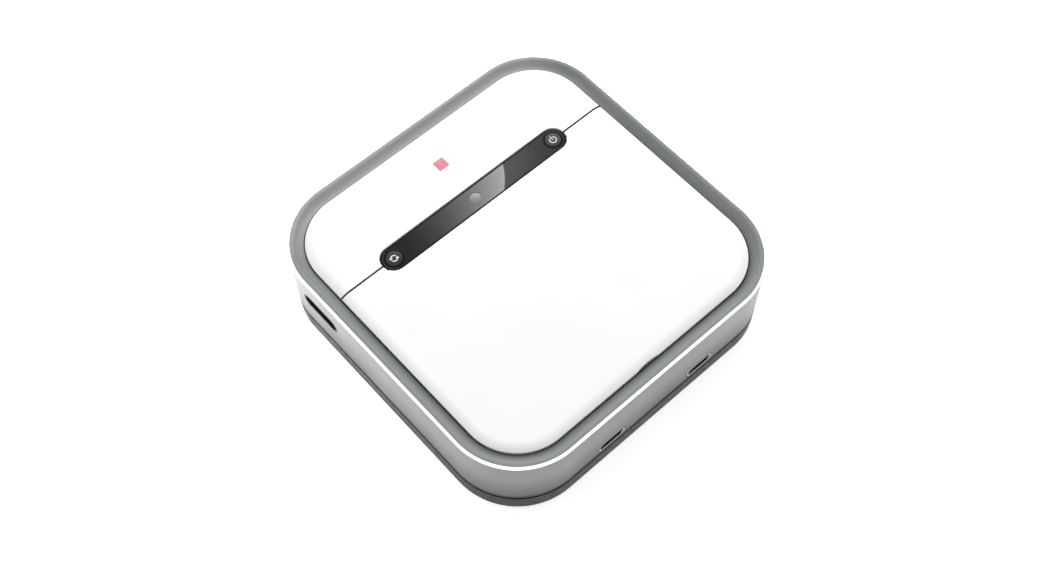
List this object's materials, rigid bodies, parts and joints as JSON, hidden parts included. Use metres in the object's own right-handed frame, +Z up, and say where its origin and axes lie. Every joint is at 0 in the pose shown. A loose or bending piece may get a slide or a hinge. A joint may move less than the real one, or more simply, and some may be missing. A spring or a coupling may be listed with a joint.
{
  "type": "mobile hotspot",
  "caption": "Square round-cornered hotspot with a hinged white lid over its battery, a dark key panel on the seam, silver sides, USB-C mouths and a side vent.",
  "frame": {"origin": "on the surface the rubber feet rest on, under the middle of the case", "axes": "+Z up; X runs along the seam between the two covers, towards the power key; the ports face -Y and the lid opens up and back about an X axis"},
  "size_m": [0.105, 0.105, 0.0277],
  "materials": {
    "base_plastic": "fine moulded texture, dark grey",
    "satin_silver": "satin silver paint with a fine metallic flake, on plastic so that radio passes",
    "polished_edge": "diamond-cut polished chamfer",
    "satin_silver_bezel": "satin grey-silver paint",
    "white_gloss": "polished white plastic",
    "foot_rubber": "matt rubber",
    "label_film": "blank printed film",
    "steel_screw": "plated steel",
    "port_metal": "satin aluminium bead",
    "usb_steel": "drawn stainless shell",
    "usb_black": "black contact tongue",
    "vent_black": "black moulded plastic",
    "board_green": "solder-masked laminate",
    "tin_can": "tinned steel",
    "chip_black": "moulded epoxy",
    "thermal_grey": "soft filled silicone",
    "spreader_aluminium": "mill finish",
    "deck_black": "black moulded plastic",
    "battery_wrap": null,
    "gold_contact": "gold-plated spring contacts",
    "card_white": "plain card",
    "antenna_film": "polyimide film with copper pattern",
    "panel_black": "polished black",
    "panel_smoke": "smoked gloss lens",
    "status_frost": "frosted diffuser",
    "clear_guide": "clear acrylic",
    "led_white": "surface-mount LED",
    "switch_black": "tact switch",
    "ribbon_amber": "flexible circuit",
    "steel_pin": "ground steel pin",
    "magnet_nickel": "nickel-plated magnet",
    "key_black": "soft-gloss key cap"
  },
  "bodies": {
    "chassis": {"base_shell": "base_plastic", "side_frame": "satin_silver", "edge_trim": "polished_edge", "bezel_ring": "satin_silver_bezel", "rear_cover": "white_gloss", "rubber_feet": "foot_rubber", "rating_label": "label_film", "base_screws": "steel_screw", "board_screws": "steel_screw", "deck_screws": "steel_screw", "port_trims": "port_metal", "usb_shells": "usb_steel", "usb_tongues": "usb_black", "vent_liner": "vent_black", "vent_grille": "vent_black", "main_board": "board_green", "modem_shield": "tin_can", "processor_shield": "tin_can", "board_chips": "chip_black", "thermal_pads": "thermal_grey", "heat_spreader": "spreader_aluminium", "inner_deck": "deck_black", "deck_posts": "deck_black", "magnet_posts": "deck_black", "panel_pillars": "deck_black", "deck_rim": "deck_black", "battery_frame": "deck_black", "battery_pack": "battery_wrap", "battery_label": "label_film", "battery_contacts": "gold_contact", "sim_socket": "tin_can", "sim_card": "card_white", "cellular_antennas": "antenna_film", "wifi_antenna": "antenna_film", "panel_housing": "panel_black", "panel_lens": "panel_smoke", "key_rings": "panel_black", "status_light": "status_frost", "light_guide": "clear_guide", "panel_board": "board_green", "status_led": "led_white", "tact_switches": "switch_black", "panel_ribbon": "ribbon_amber", "hinge_brackets": "deck_black", "hinge_pins": "steel_pin", "deck_magnets": "magnet_nickel"},
    "front_lid": {"front_cover": "white_gloss", "lid_liner": "deck_black", "lid_magnets": "magnet_nickel"},
    "power_button": {"power_key": "key_black"},
    "function_button": {"function_key": "key_black"}
  },
  "joints": [
    {"name": "lid_hinge", "type": "hinge", "parent": "chassis", "child": "front_lid", "pos_m": [0, 0.01992, 0.0263], "axis": [-1, 0, 0], "range_deg": [0, 90]},
    {"name": "power_key_press", "type": "slide", "parent": "chassis", "child": "power_button", "axis": [0, 0, -1], "range_m": [0, 0.0004], "stiffness_N_per_m": 3000, "springref_m": -0.0003},
    {"name": "function_key_press", "type": "slide", "parent": "chassis", "child": "function_button", "axis": [0, 0, -1], "range_m": [0, 0.0004], "stiffness_N_per_m": 3000, "springref_m": -0.0003}
  ]
}
